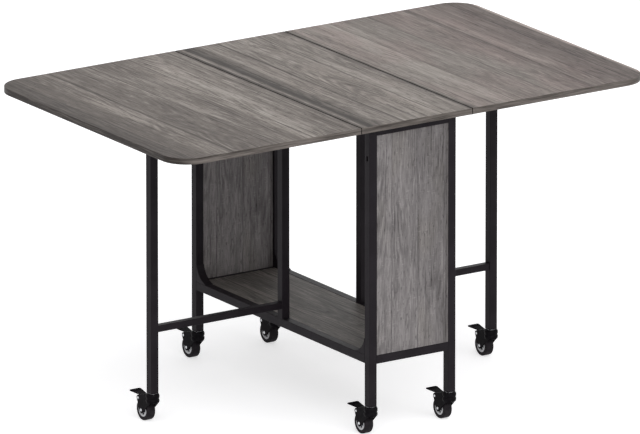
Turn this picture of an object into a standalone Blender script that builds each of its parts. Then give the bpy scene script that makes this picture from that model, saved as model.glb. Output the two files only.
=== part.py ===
"""Gate-leg dining table with two drop leaves, on six braked swivel castors.

Metres, +Z up. The origin is on the floor under the middle of the base. X runs along the
table's length, Y across its depth, and the front is at -Y.
"""

import math

import bmesh
import bpy
from mathutils import Matrix, Vector

# Table top
TABLE_HEIGHT = 0.750
TOP_LENGTH = 1.308
TOP_DEPTH = 0.786
BOARD_THICKNESS = 0.015
CENTER_WIDTH = 0.304
SEAM_GAP = 0.002
TOP_CORNER_RADIUS = 0.068
TOP_CORNER_STEPS = 9

# Steel tube of the base and the gates
LEG_TUBE = 0.0205
UPPER_RAIL_HEIGHT = 0.015
GATE_RAIL = 0.016
TUBE_WALL = 0.0012
TUBE_CORNER = 0.0015
LEG_SPACING_X = 0.218
LEG_SPACING_Y = 0.730
LOWER_RAIL_BOTTOM = 0.1732
GUSSET_RADIUS = 0.050
GUSSET_TIP_ANGLE = math.radians(12.0)
GUSSET_STEPS = 8

# Boards of the base
PANEL_THICKNESS = 0.015
SHELF_THICKNESS = 0.015

# Gates that swing out under the leaves
GATE_REACH = 0.362
GATE_RAIL_BOTTOM = 0.217
GATE_TOP_CLEARANCE = 0.014
PAD_THICKNESS = 0.006
PAD_PLUG_DEPTH = 0.014
SPIGOT_HEIGHT = 0.022
SPIGOT_CLEARANCE = 0.0004
CATCH_DROP = 0.0697
CATCH_WIDTH = 0.007
CATCH_LENGTH = 0.012

# Leaf hinges
HINGE_SPACING_Y = 0.500
HINGE_LENGTH = 0.060
HINGE_WING = 0.030
HINGE_PLATE = 0.0015
KNUCKLE_RADIUS = 0.003
HINGE_PIN_RADIUS = 0.0014
HINGE_PIN_CLEARANCE = 0.0004
HINGE_TAB_STEP = 0.0001

# Castors
WHEEL_RADIUS = 0.025
WHEEL_WIDTH = 0.0186
WHEEL_TREAD_ROUND = 0.0022
WHEEL_RIM_RADIUS = 0.018
WHEEL_DISH_RADIUS = 0.016
WHEEL_DISH_DEPTH = 0.0025
WHEEL_CLEARANCE = 0.0018
FOOT_OVER_WHEEL = 0.0215
CASTOR_TRAIL = 0.0281
HEAD_RADIUS = 0.0155
HEAD_DEPTH = 0.024
CHEEK_THICKNESS = 0.0025
AXLE_RADIUS = 0.003
AXLE_BOSS_RADIUS = 0.008
AXLE_CLEARANCE = 0.0004
STEM_RADIUS = 0.005
STEM_LENGTH = 0.018
STEM_CLEARANCE = 0.0004
FOOT_PLUG_DEPTH = 0.022
FOOT_PLUG_RECESS = 0.001
SWIVEL_GAP = 0.0005

# Brake pedal of a castor, its pivot measured from the axle and from the top of the wheel
PEDAL_PIVOT_TRAIL = 0.0129
PEDAL_PIVOT_RISE = 0.002
PEDAL_EAR_RADIUS = 0.0065
PEDAL_PIN_RADIUS = 0.0018
PEDAL_PIN_CLEARANCE = 0.0004
PEDAL_HUB_RADIUS = 0.0042
PEDAL_REACH = 0.036
PEDAL_RISE = 0.0105
PEDAL_THICKNESS = 0.0025
PEDAL_TIP_WIDTH = 0.031
PEDAL_ROOT_HEIGHT = 0.0075
PEDAL_ROOT_DEPTH = 0.006
PEDAL_SIDE_ROOM = 0.0026

# Gap between pieces that are welded, screwed or rest together, and the steps of a circle
FIT_GAP = 0.0003
ROUND_STEPS = 16
WHEEL_STEPS = 24
SMOOTH_ANGLE = math.radians(35.0)

# Heights and places worked out from the sizes above
TOP_UNDERSIDE = TABLE_HEIGHT - BOARD_THICKNESS
FRAME_TOP = TOP_UNDERSIDE - FIT_GAP
CATCH_HEIGHT = FRAME_TOP - CATCH_DROP
LEG_BOTTOM = 2 * WHEEL_RADIUS + FOOT_OVER_WHEEL
LEG_X = LEG_SPACING_X / 2
LEG_Y = LEG_SPACING_Y / 2
INSIDE_X = LEG_X - LEG_TUBE / 2
INSIDE_Y = LEG_Y - LEG_TUBE / 2
OUTSIDE_Y = LEG_Y + LEG_TUBE / 2
LOWER_RAIL_TOP = LOWER_RAIL_BOTTOM + LEG_TUBE
UPPER_RAIL_BOTTOM = FRAME_TOP - UPPER_RAIL_HEIGHT
TUBE_INSIDE = LEG_TUBE - 2 * TUBE_WALL
SPIGOT_RADIUS = TUBE_INSIDE / 2 - SPIGOT_CLEARANCE
HINGE_X = CENTER_WIDTH / 2 + SEAM_GAP / 2
HINGE_Z = TOP_UNDERSIDE - FIT_GAP - KNUCKLE_RADIUS
WHEEL_SLOT = WHEEL_WIDTH / 2 + WHEEL_CLEARANCE
CHEEK_OUTSIDE = WHEEL_SLOT + CHEEK_THICKNESS
HEAD_TOP = LEG_BOTTOM - SWIVEL_GAP
HEAD_BOTTOM = HEAD_TOP - HEAD_DEPTH
PEDAL_PIVOT_Y = CASTOR_TRAIL + PEDAL_PIVOT_TRAIL
PEDAL_PIVOT_Z = 2 * WHEEL_RADIUS + PEDAL_PIVOT_RISE

SIDES = {"left": -1, "right": 1}
ENDS = {"front": -1, "back": 1}

# Turns that lay a tube built along Z along another axis
ALONG = {
    "X": Matrix(((0.0, 0.0, 1.0), (1.0, 0.0, 0.0), (0.0, 1.0, 0.0))),
    "Y": Matrix.Rotation(math.radians(-90.0), 3, "X"),
    "Z": Matrix.Identity(3),
}


def clear_scene():
    """Empties the scene, so that it holds the table alone."""
    for old in list(bpy.data.objects):
        bpy.data.objects.remove(old, do_unlink=True)


def finish(name, colour, roughness, metallic):
    """A plain Principled material in one colour."""
    material = bpy.data.materials.new(name)
    material.use_nodes = True
    shader = material.node_tree.nodes["Principled BSDF"]
    shader.inputs["Base Color"].default_value = (*colour, 1.0)
    shader.inputs["Roughness"].default_value = roughness
    shader.inputs["Metallic"].default_value = metallic
    return material


def world_place(anchor):
    """Where an anchor stands in the world. Anchors are never turned."""
    place = Vector((0.0, 0.0, 0.0))
    while anchor is not None:
        place += anchor.location
        anchor = anchor.parent
    return place


def add_anchor(name, at, parent=None):
    """An empty at a world place, which carries the pieces of one moving body."""
    anchor = bpy.data.objects.new(name, None)
    bpy.context.scene.collection.objects.link(anchor)
    anchor.location = Vector(at) - world_place(parent)
    anchor.parent = parent
    return anchor


def add_piece(name, mesh, material, at, parent):
    """One named piece, at a world place, carried by its anchor."""
    if not mesh.materials:
        mesh.materials.append(material)
    piece = bpy.data.objects.new(name, mesh)
    bpy.context.scene.collection.objects.link(piece)
    piece.location = Vector(at) - world_place(parent)
    piece.parent = parent
    return piece


def mesh_of(bm, name):
    """The bmesh as a mesh with outward faces, smooth on its round stretches."""
    bmesh.ops.recalc_face_normals(bm, faces=bm.faces)
    mesh = bpy.data.meshes.new(name)
    bm.to_mesh(mesh)
    bm.free()
    mesh.shade_smooth()
    mesh.set_sharp_from_angle(angle=SMOOTH_ANGLE)
    return mesh


def combined(name, base, joins=(), cuts=()):
    """One mesh: the base with each of joins added and each of cuts taken away."""
    helpers = []
    for bm in (base, *joins, *cuts):
        helper = bpy.data.objects.new(name + "_helper", mesh_of(bm, name))
        bpy.context.scene.collection.objects.link(helper)
        helpers.append(helper)
    body = helpers[0]
    for index, helper in enumerate(helpers[1:]):
        boolean = body.modifiers.new(helper.name, "BOOLEAN")
        boolean.operation = "UNION" if index < len(joins) else "DIFFERENCE"
        boolean.solver = "EXACT"
        boolean.object = helper
    graph = bpy.context.evaluated_depsgraph_get()
    mesh = bpy.data.meshes.new_from_object(body.evaluated_get(graph))
    mesh.name = name
    for helper in helpers:
        bpy.data.objects.remove(helper, do_unlink=True)
    mesh.shade_smooth()
    mesh.set_sharp_from_angle(angle=SMOOTH_ANGLE)
    return mesh


def block(low, high):
    """A box between two corners."""
    low = Vector(low)
    high = Vector(high)
    bm = bmesh.new()
    place = Matrix.Translation((low + high) / 2) @ Matrix.Diagonal((*(high - low), 1.0))
    bmesh.ops.create_cube(bm, size=1.0, matrix=place)
    return bm


def ease_edges(bm, edges, offset, steps=1):
    """Rounds or chamfers some edges of the bmesh."""
    bmesh.ops.bevel(
        bm,
        geom=edges,
        offset=offset,
        offset_type="OFFSET",
        segments=steps,
        profile=0.5,
        affect="EDGES",
        material=-1,
    )


def upright_edges(bm):
    """The edges that run along Z."""
    return [e for e in bm.edges if (e.verts[0].co - e.verts[1].co).xy.length < 1e-7]


def round_bar(radius, start, end, steps=ROUND_STEPS):
    """A round bar between two points."""
    start = Vector(start)
    end = Vector(end)
    bm = bmesh.new()
    bmesh.ops.create_cone(
        bm,
        cap_ends=True,
        segments=steps,
        radius1=radius,
        radius2=radius,
        depth=(end - start).length,
    )
    turn = (end - start).to_track_quat("Z", "Y").to_matrix()
    bmesh.ops.rotate(bm, matrix=turn, verts=bm.verts)
    bmesh.ops.translate(bm, vec=(start + end) / 2, verts=bm.verts)
    return bm


def cross_bar(radius, half, y, z, steps=ROUND_STEPS):
    """A round bar along X, at one place in Y and Z."""
    return round_bar(radius, (-half, y, z), (half, y, z), steps)


def hull_of(*shapes):
    """The convex hull of several shapes, as one body."""
    bm = bmesh.new()
    for shape in shapes:
        for vert in shape.verts:
            bm.verts.new(vert.co)
        shape.free()
    made = bmesh.ops.convex_hull(bm, input=bm.verts)
    spare = {v for v in made["geom_interior"] + made["geom_unused"] if v.is_valid}
    bmesh.ops.delete(bm, geom=list(spare), context="VERTS")
    bmesh.ops.dissolve_limit(bm, angle_limit=math.radians(0.5), verts=bm.verts, edges=bm.edges)
    return bm


def square_tube(length, width, height, along):
    """A square tube centred on the origin, open at both ends, with eased corners."""
    bm = bmesh.new()
    bmesh.ops.create_cube(bm, size=1.0, matrix=Matrix.Diagonal((width, height, length, 1.0)))
    ease_edges(bm, upright_edges(bm), TUBE_CORNER)
    mouths = [f for f in bm.faces if abs(f.normal.z) > 0.9]
    bmesh.ops.inset_individual(bm, faces=mouths, thickness=TUBE_WALL, use_even_offset=True)
    rims = list({e for f in mouths for e in f.edges})
    bmesh.ops.delete(bm, geom=mouths, context="FACES_ONLY")
    bmesh.ops.bridge_loops(bm, edges=rims)
    bmesh.ops.rotate(bm, matrix=ALONG[along], verts=bm.verts)
    return bm


def add_tube(name, start, end, section, along, material, parent):
    """A tube between two points, of a width and a height."""
    start = Vector(start)
    end = Vector(end)
    mesh = mesh_of(square_tube((end - start).length, *section, along), name)
    return add_piece(name, mesh, material, (start + end) / 2, parent)


def foot_tube(name, low, high, cuts=()):
    """An upright tube about its middle, its foot plugged and bored for a castor's stem."""
    half = (high - low) / 2
    plug_low = FOOT_PLUG_RECESS - half
    plug_half = TUBE_INSIDE / 2 + TUBE_WALL / 4
    plug = block(
        (-plug_half, -plug_half, plug_low),
        (plug_half, plug_half, plug_low + FOOT_PLUG_DEPTH),
    )
    ease_edges(plug, upright_edges(plug), TUBE_CORNER / 2)
    bore_top = STEM_LENGTH + STEM_CLEARANCE - half
    bore = round_bar(STEM_RADIUS + STEM_CLEARANCE, (0, 0, -2 * half), (0, 0, bore_top))
    tube = square_tube(high - low, LEG_TUBE, LEG_TUBE, "Z")
    return combined(name, tube, joins=[plug], cuts=[bore, *cuts])


def gusset_mesh(name, end):
    """The curved web in the corner between a lower side rail and a leg, about that corner."""
    points = []
    span = math.radians(90.0) - 2 * GUSSET_TIP_ANGLE
    for step in range(GUSSET_STEPS + 1):
        angle = GUSSET_TIP_ANGLE + span * step / GUSSET_STEPS
        inward = GUSSET_RADIUS * (1 - math.sin(angle))
        upward = GUSSET_RADIUS * (1 - math.cos(angle))
        points.append((inward, upward))
    points += [(FIT_GAP, points[-1][1]), (FIT_GAP, FIT_GAP), (points[0][0], FIT_GAP)]
    bm = bmesh.new()
    outline = [bm.verts.new((-LEG_TUBE / 2, -end * y, z)) for y, z in points]
    face = bm.faces.new(outline)
    grown = bmesh.ops.extrude_face_region(bm, geom=[face])
    far = [v for v in grown["geom"] if isinstance(v, bmesh.types.BMVert)]
    bmesh.ops.translate(bm, vec=(LEG_TUBE, 0.0, 0.0), verts=far)
    return mesh_of(bm, name)


def build_top(finishes, base, leaves):
    """The fixed middle board and the two leaves with round outer corners."""
    half_depth = TOP_DEPTH / 2
    half_thick = BOARD_THICKNESS / 2
    half = Vector((CENTER_WIDTH / 2, half_depth, half_thick))
    level = TABLE_HEIGHT - half_thick
    mesh = mesh_of(block(-half, half), "top_center")
    add_piece("top_center", mesh, finishes["oak"], (0, 0, level), base)
    inner = CENTER_WIDTH / 2 + SEAM_GAP
    length = TOP_LENGTH / 2 - inner
    half = Vector((length / 2, half_depth, half_thick))
    for side, sign in SIDES.items():
        name = "leaf_" + side
        bm = block(-half, half)
        corners = [e for e in upright_edges(bm) if e.verts[0].co.x * sign > 0]
        ease_edges(bm, corners, TOP_CORNER_RADIUS, TOP_CORNER_STEPS)
        at = (sign * (inner + length / 2), 0, level)
        add_piece(name, mesh_of(bm, name), finishes["oak"], at, leaves[side])


def build_legs(finishes, base):
    """Four legs, the front two with the gates' catch slot in their outer side."""
    middle_z = (LEG_BOTTOM + FRAME_TOP) / 2
    slot_z = CATCH_HEIGHT - middle_z
    for end, end_sign in ENDS.items():
        for side, side_sign in SIDES.items():
            name = f"leg_{end}_{side}"
            cuts = []
            if end == "front":
                outer = side_sign * LEG_TUBE / 2
                half = Vector((2 * TUBE_WALL, CATCH_WIDTH / 2, CATCH_LENGTH / 2))
                middle = Vector((outer, 0, slot_z))
                cuts.append(block(middle - half, middle + half))
            mesh = foot_tube(name, LEG_BOTTOM, FRAME_TOP, cuts)
            at = (side_sign * LEG_X, end_sign * LEG_Y, middle_z)
            add_piece(name, mesh, finishes["steel"], at, base)


def build_rails(finishes, base):
    """The end rails, the side rails with the gates' spigots, and the corner webs."""
    steel = finishes["steel"]
    levels = {
        "lower": (LOWER_RAIL_BOTTOM + LEG_TUBE / 2, LEG_TUBE, 1),
        "upper": (FRAME_TOP - UPPER_RAIL_HEIGHT / 2, UPPER_RAIL_HEIGHT, -1),
    }
    reach = INSIDE_X - FIT_GAP
    length = 2 * (INSIDE_Y - FIT_GAP)
    for level, (z, height, inward) in levels.items():
        for end, sign in ENDS.items():
            start = (-reach, sign * LEG_Y, z)
            stop = (reach, sign * LEG_Y, z)
            name = f"end_rail_{level}_{end}"
            add_tube(name, start, stop, (LEG_TUBE, height), "X", steel, base)
        for side, sign in SIDES.items():
            name = f"side_rail_{level}_{side}"
            wall = inward * (height / 2 - TUBE_WALL / 2)
            tip = inward * (height / 2 + SPIGOT_HEIGHT)
            spigot = round_bar(SPIGOT_RADIUS, (0, 0, wall), (0, 0, tip))
            mesh = combined(name, square_tube(length, LEG_TUBE, height, "Y"), joins=[spigot])
            add_piece(name, mesh, steel, (sign * LEG_X, 0, z), base)
    for end, end_sign in ENDS.items():
        for side, sign in SIDES.items():
            name = f"gusset_{end}_{side}"
            at = (sign * LEG_X, end_sign * INSIDE_Y, LOWER_RAIL_TOP)
            add_piece(name, gusset_mesh(name, end_sign), steel, at, base)


def build_boards(finishes, base):
    """The end panels, flush with the legs' outer faces, and the shelf between the rails."""
    half_x = INSIDE_X - FIT_GAP
    low_z = LOWER_RAIL_TOP + FIT_GAP
    high_z = UPPER_RAIL_BOTTOM - FIT_GAP
    half = Vector((half_x, PANEL_THICKNESS / 2, (high_z - low_z) / 2))
    for end, sign in ENDS.items():
        name = "end_panel_" + end
        at = (0, sign * (OUTSIDE_Y - PANEL_THICKNESS / 2), (low_z + high_z) / 2)
        add_piece(name, mesh_of(block(-half, half), name), finishes["oak"], at, base)
    half = Vector((half_x, INSIDE_Y - FIT_GAP, SHELF_THICKNESS / 2))
    at = (0, 0, LOWER_RAIL_TOP - FIT_GAP - SHELF_THICKNESS / 2)
    mesh = mesh_of(block(-half, half), "bottom_shelf")
    add_piece("bottom_shelf", mesh, finishes["oak"], at, base)


def build_gates(finishes, gates):
    """Each gate: a stile on the spigots, two rails, a post and the pad under the leaf."""
    steel = finishes["steel"]
    post_top = FRAME_TOP - PAD_THICKNESS - FIT_GAP
    rail_levels = {
        "lower": GATE_RAIL_BOTTOM + GATE_RAIL / 2,
        "upper": UPPER_RAIL_BOTTOM - GATE_TOP_CLEARANCE - GATE_RAIL / 2,
    }
    inner = LEG_X + LEG_TUBE / 2 + FIT_GAP
    outer = LEG_X + GATE_REACH - LEG_TUBE / 2 - FIT_GAP
    section = (LEG_TUBE, LEG_TUBE)
    for side, sign in SIDES.items():
        gate = gates[side]
        low = (sign * LEG_X, 0, LOWER_RAIL_TOP + FIT_GAP)
        high = (sign * LEG_X, 0, UPPER_RAIL_BOTTOM - FIT_GAP)
        add_tube("gate_stile_" + side, low, high, section, "Z", steel, gate)
        post_x = sign * (LEG_X + GATE_REACH)
        name = "gate_post_" + side
        mesh = foot_tube(name, LEG_BOTTOM, post_top)
        add_piece(name, mesh, steel, (post_x, 0, (LEG_BOTTOM + post_top) / 2), gate)
        for level, z in rail_levels.items():
            name = f"gate_rail_{level}_{side}"
            start = (sign * inner, 0, z)
            stop = (sign * outer, 0, z)
            add_tube(name, start, stop, (GATE_RAIL, GATE_RAIL), "X", steel, gate)
        name = "gate_pad_" + side
        half = LEG_TUBE / 2
        cap = block((-half, -half, 0), (half, half, PAD_THICKNESS))
        half = TUBE_INSIDE / 2 - FIT_GAP
        plug = block((-half, -half, -PAD_PLUG_DEPTH), (half, half, PAD_THICKNESS / 2))
        for bm in (cap, plug):
            ease_edges(bm, upright_edges(bm), TUBE_CORNER)
        mesh = combined(name, cap, joins=[plug])
        at = (post_x, 0, FRAME_TOP - PAD_THICKNESS)
        add_piece(name, mesh, finishes["plastic"], at, gate)


def hinge_wing(direction, thirds):
    """A hinge wing about its pin line, as its plate and the knuckles to join to it.

    direction is the side that the plate lies on, and thirds lists the knuckles' places
    along the pin: -1, 0 or 1. A knuckle's tab is a step thinner than the plate it runs into.
    """
    third = HINGE_LENGTH / 3
    half_knuckle = third / 2 - FIT_GAP / 2
    low_z = KNUCKLE_RADIUS - HINGE_PLATE
    inner = direction * (KNUCKLE_RADIUS + FIT_GAP)
    outer = direction * HINGE_WING
    plate = block(
        (min(inner, outer), -HINGE_LENGTH / 2, low_z),
        (max(inner, outer), HINGE_LENGTH / 2, KNUCKLE_RADIUS),
    )
    tab_low = low_z + HINGE_TAB_STEP
    tab_high = KNUCKLE_RADIUS - HINGE_TAB_STEP
    reach = sorted((inner, inner + direction * 4 * FIT_GAP))
    joins = []
    for place in thirds:
        start = place * third - half_knuckle
        stop = place * third + half_knuckle
        tab = block((reach[0], start, tab_low), (reach[1], stop, tab_high))
        joins.append(hull_of(round_bar(KNUCKLE_RADIUS, (0, start, 0), (0, stop, 0)), tab))
    return plate, joins


def build_hinges(finishes, base, leaves):
    """Two hinges under each seam: a fixed wing with its pin, and a wing that turns on it."""
    bright = finishes["bright_steel"]
    half = HINGE_LENGTH / 2 - FIT_GAP
    bore_radius = HINGE_PIN_RADIUS + HINGE_PIN_CLEARANCE
    for side, sign in SIDES.items():
        for end, end_sign in ENDS.items():
            at = (sign * HINGE_X, end_sign * HINGE_SPACING_Y / 2, HINGE_Z)
            name = f"hinge_wing_fixed_{side}_{end}"
            plate, knuckles = hinge_wing(-sign, (-1, 1))
            pin = round_bar(HINGE_PIN_RADIUS, (0, -half, 0), (0, half, 0), steps=8)
            mesh = combined(name, plate, joins=[*knuckles, pin])
            add_piece(name, mesh, bright, at, base)
            name = f"hinge_wing_leaf_{side}_{end}"
            plate, knuckles = hinge_wing(sign, (0,))
            bore = round_bar(bore_radius, (0, -half, 0), (0, half, 0), steps=8)
            mesh = combined(name, plate, joins=knuckles, cuts=[bore])
            add_piece(name, mesh, bright, at, leaves[side])


def fork_mesh():
    """A castor's fork about its swivel axis, with its stem, axle and pedal pin."""
    half = CHEEK_OUTSIDE
    slot = WHEEL_SLOT
    clear_radius = WHEEL_RADIUS + WHEEL_CLEARANCE
    behind = PEDAL_PIVOT_Y + 2 * PEDAL_EAR_RADIUS
    pit_front = PEDAL_PIVOT_Y - PEDAL_ROOT_DEPTH - 2 * PEDAL_EAR_RADIUS
    shell = hull_of(
        cross_bar(AXLE_BOSS_RADIUS, half, CASTOR_TRAIL, WHEEL_RADIUS),
        cross_bar(PEDAL_EAR_RADIUS, half, PEDAL_PIVOT_Y, PEDAL_PIVOT_Z),
        block((-half, 0, HEAD_BOTTOM), (half, HEAD_RADIUS / 2, HEAD_TOP - SWIVEL_GAP)),
    )
    head = round_bar(HEAD_RADIUS, (0, 0, HEAD_BOTTOM), (0, 0, HEAD_TOP), steps=WHEEL_STEPS)
    cuts = [
        cross_bar(clear_radius, slot, CASTOR_TRAIL, WHEEL_RADIUS, steps=WHEEL_STEPS),
        block((-slot, pit_front, WHEEL_RADIUS), (slot, behind, LEG_BOTTOM)),
        block((-slot, CASTOR_TRAIL - clear_radius, -SWIVEL_GAP), (slot, behind, WHEEL_RADIUS)),
    ]
    cheeks = bmesh.new()
    shell_mesh = combined("castor_fork_shell", shell, joins=[head], cuts=cuts)
    cheeks.from_mesh(shell_mesh)
    bpy.data.meshes.remove(shell_mesh)
    over = half + FIT_GAP
    stem_low = (HEAD_TOP + HEAD_BOTTOM) / 2
    pins = [
        cross_bar(AXLE_RADIUS, over, CASTOR_TRAIL, WHEEL_RADIUS),
        cross_bar(PEDAL_PIN_RADIUS, over, PEDAL_PIVOT_Y, PEDAL_PIVOT_Z, steps=8),
        round_bar(STEM_RADIUS, (0, 0, stem_low), (0, 0, LEG_BOTTOM + STEM_LENGTH)),
    ]
    return combined("castor_fork", cheeks, joins=pins)


def wheel_mesh():
    """A castor's wheel about its axle, with a flat of its tread on the floor."""
    half = WHEEL_WIDTH / 2
    face = half - WHEEL_DISH_DEPTH
    outline = [
        (face, AXLE_RADIUS + AXLE_CLEARANCE),
        (face, WHEEL_DISH_RADIUS),
        (half, WHEEL_RIM_RADIUS),
        (half, WHEEL_RADIUS - WHEEL_TREAD_ROUND),
        (half - WHEEL_TREAD_ROUND, WHEEL_RADIUS),
    ]
    outline += [(-x, r) for x, r in reversed(outline)]
    half_step = math.pi / WHEEL_STEPS
    bm = bmesh.new()
    ring = [bm.verts.new((x, r * math.tan(half_step), -r)) for x, r in outline]
    edges = [bm.edges.new((a, b)) for a, b in zip(ring, ring[1:] + ring[:1])]
    bmesh.ops.spin(
        bm,
        geom=ring + edges,
        cent=(0, 0, 0),
        axis=(1, 0, 0),
        angle=math.radians(360.0),
        steps=WHEEL_STEPS,
        use_merge=True,
    )
    return mesh_of(bm, "castor_wheel")


def pedal_mesh():
    """A castor's brake pedal about its pivot: a bored hub and a plate that flares to its tip."""
    root_half = WHEEL_SLOT - PEDAL_SIDE_ROOM
    hub_half = WHEEL_SLOT - PEDAL_SIDE_ROOM / 3
    tip_half = PEDAL_TIP_WIDTH / 2
    plate = hull_of(
        block(
            (-root_half, -PEDAL_ROOT_DEPTH, PEDAL_ROOT_HEIGHT - PEDAL_THICKNESS),
            (root_half, 0, PEDAL_ROOT_HEIGHT),
        ),
        block(
            (-tip_half, PEDAL_REACH - PEDAL_THICKNESS, PEDAL_RISE - PEDAL_THICKNESS),
            (tip_half, PEDAL_REACH, PEDAL_RISE),
        ),
    )
    hub = cross_bar(PEDAL_HUB_RADIUS, hub_half, 0, 0)
    web_half = PEDAL_HUB_RADIUS / 2
    web_side = root_half - PEDAL_SIDE_ROOM / 3
    web_top = PEDAL_ROOT_HEIGHT - PEDAL_THICKNESS / 2
    web = block((-web_side, -web_half, 0), (web_side, web_half, web_top))
    bore = cross_bar(PEDAL_PIN_RADIUS + PEDAL_PIN_CLEARANCE, 2 * hub_half, 0, 0, steps=8)
    return combined("castor_brake", plate, joins=[hub, web], cuts=[bore])


def build_castors(finishes, base, gates):
    """Six castors, under the legs and the gate posts, all trailing towards the back."""
    places = {}
    for end, end_sign in ENDS.items():
        for side, sign in SIDES.items():
            places[f"{end}_{side}"] = (sign * LEG_X, end_sign * LEG_Y, base)
    for side, sign in SIDES.items():
        places["gate_" + side] = (sign * (LEG_X + GATE_REACH), 0, gates[side])
    fork = fork_mesh()
    wheel = wheel_mesh()
    pedal = pedal_mesh()
    for place, (x, y, carrier) in places.items():
        swivel = add_anchor("swivel_" + place, (x, y, 0), carrier)
        axle_at = (x, y + CASTOR_TRAIL, WHEEL_RADIUS)
        pivot_at = (x, y + PEDAL_PIVOT_Y, PEDAL_PIVOT_Z)
        add_piece("castor_fork_" + place, fork, finishes["castor_steel"], (x, y, 0), swivel)
        add_piece("castor_wheel_" + place, wheel, finishes["wheel"], axle_at, swivel)
        add_piece("castor_brake_" + place, pedal, finishes["castor_steel"], pivot_at, swivel)


def main():
    """Builds the table."""
    clear_scene()
    finishes = {
        "oak": finish("grey_oak_laminate", (0.182, 0.168, 0.155), 0.55, 0.0),
        "steel": finish("black_powder_coat", (0.015, 0.014, 0.015), 0.50, 0.0),
        "bright_steel": finish("zinc_plated_steel", (0.55, 0.55, 0.56), 0.35, 1.0),
        "castor_steel": finish("black_painted_steel", (0.010, 0.010, 0.011), 0.40, 0.0),
        "wheel": finish("black_wheel", (0.012, 0.012, 0.013), 0.60, 0.0),
        "plastic": finish("black_plastic", (0.014, 0.014, 0.014), 0.55, 0.0),
    }
    base = add_anchor("base_frame", (0, 0, 0))
    leaves = {}
    gates = {}
    for side, sign in SIDES.items():
        leaves[side] = add_anchor("leaf_axis_" + side, (sign * HINGE_X, 0, HINGE_Z), base)
        gates[side] = add_anchor("gate_axis_" + side, (sign * LEG_X, 0, 0), base)
    build_top(finishes, base, leaves)
    build_legs(finishes, base)
    build_rails(finishes, base)
    build_boards(finishes, base)
    build_gates(finishes, gates)
    build_hinges(finishes, base, leaves)
    build_castors(finishes, base, gates)


main()
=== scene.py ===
"""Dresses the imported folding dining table: camera, studio, finishes and finer pieces.

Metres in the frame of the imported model: X runs along the table, -Y is its front, Z is up.
"""

import logging
import math
from collections.abc import Iterable
from dataclasses import dataclass
from enum import Enum
from functools import partial

import bmesh
import bpy
from mathutils import Matrix, Vector

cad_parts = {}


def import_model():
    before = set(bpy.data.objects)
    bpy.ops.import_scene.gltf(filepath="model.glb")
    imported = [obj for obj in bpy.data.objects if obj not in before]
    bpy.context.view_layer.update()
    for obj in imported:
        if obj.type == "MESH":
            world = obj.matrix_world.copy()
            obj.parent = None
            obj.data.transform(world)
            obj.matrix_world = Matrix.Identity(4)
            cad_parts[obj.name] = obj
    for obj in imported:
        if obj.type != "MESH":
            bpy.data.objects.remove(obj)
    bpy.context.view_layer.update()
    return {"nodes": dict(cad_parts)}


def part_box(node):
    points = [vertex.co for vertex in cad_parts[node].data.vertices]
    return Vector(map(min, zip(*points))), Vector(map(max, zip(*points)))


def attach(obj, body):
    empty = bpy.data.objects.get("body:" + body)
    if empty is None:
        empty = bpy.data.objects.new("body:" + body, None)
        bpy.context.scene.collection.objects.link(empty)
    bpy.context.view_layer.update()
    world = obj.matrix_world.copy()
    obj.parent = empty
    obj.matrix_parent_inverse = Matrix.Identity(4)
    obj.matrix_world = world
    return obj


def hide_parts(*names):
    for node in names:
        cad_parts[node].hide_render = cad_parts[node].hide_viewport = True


Mesh = bmesh.types.BMesh
Verts = list[bmesh.types.BMVert]
Edges = list[bmesh.types.BMEdge]
Faces = list[bmesh.types.BMFace]
Outline = list[tuple[float, float]]
Pairs = tuple[tuple[float, float], ...]
Material = bpy.types.Material
Node = bpy.types.Node
Socket = bpy.types.NodeSocket
Tree = bpy.types.NodeTree

LOG = logging.getLogger("folding_table")
SIDES = {"left": -1, "right": 1}
ENDS = {"front": -1, "back": 1}
WHITE = "#FFFFFF"
FULL_TURN = math.radians(360.0)
QUARTER_TURN = math.radians(90.0)
# An edge counts as sharp when its two faces meet at more than these angles.
SHADED_SHARP = math.radians(32.0)
BEND_SHARP = math.radians(40.0)
PLATE_SHARP = math.radians(50.0)
RIM_SHARP = math.radians(60.0)
# Points nearer than this are one, and a face squarer than this to an axis faces along it.
TOUCH = 1e-6
SQUARE = 0.99


class Axis(Enum):
    """An axis of the table's frame, with its place in a coordinate."""

    X = 0
    Y = 1
    Z = 2

    @property
    def vector(self) -> Vector:
        """The unit vector along this axis."""
        return Vector([float(self.value == i) for i in range(3)])

    def arm(self, radius: float, reach: float) -> Vector:
        """A point at a radius from this axis and a reach along it."""
        across = Axis.X if self is not Axis.X else Axis.Z
        return self.vector * reach + across.vector * radius


class Slot(Enum):
    """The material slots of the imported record."""

    OAK = "grey_oak_board"
    TUBE = "black_steel_tube"
    HINGE = "hinge_steel"
    CASTOR = "castor_steel"
    WHEEL = "castor_wheel"
    PAD = "black_pad"


def srgb(text: str) -> tuple[float, float, float, float]:
    """Turns an sRGB hex colour into linear light.

    Args:
        text: The colour as #RRGGBB.

    Returns:
        Linear red, green and blue, with an alpha of 1.
    """
    parts = [int(text[i : i + 2], 16) / 255 for i in (1, 3, 5)]
    linear = [p / 12.92 if p <= 0.04045 else ((p + 0.055) / 1.055) ** 2.4 for p in parts]
    return (linear[0], linear[1], linear[2], 1.0)


def add_node(tree: Tree, kind: str, inputs: dict | None = None, **settings: object) -> Node:
    """Adds a shader node, sets it and links it.

    Args:
        tree: The node tree that gets the node.
        kind: Blender's type name of the node, after its ShaderNode prefix.
        inputs: Input name or number to a value, an output socket, or a node's first output.
        settings: Properties of the node itself.

    Returns:
        The new node.
    """
    node = tree.nodes.new("ShaderNode" + kind)
    for name, value in settings.items():
        setattr(node, name, value)
    for key, value in (inputs or {}).items():
        if isinstance(value, Node):
            value = value.outputs[0]
        if isinstance(value, Socket):
            tree.links.new(value, node.inputs[key])
        else:
            node.inputs[key].default_value = value
    return node


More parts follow.
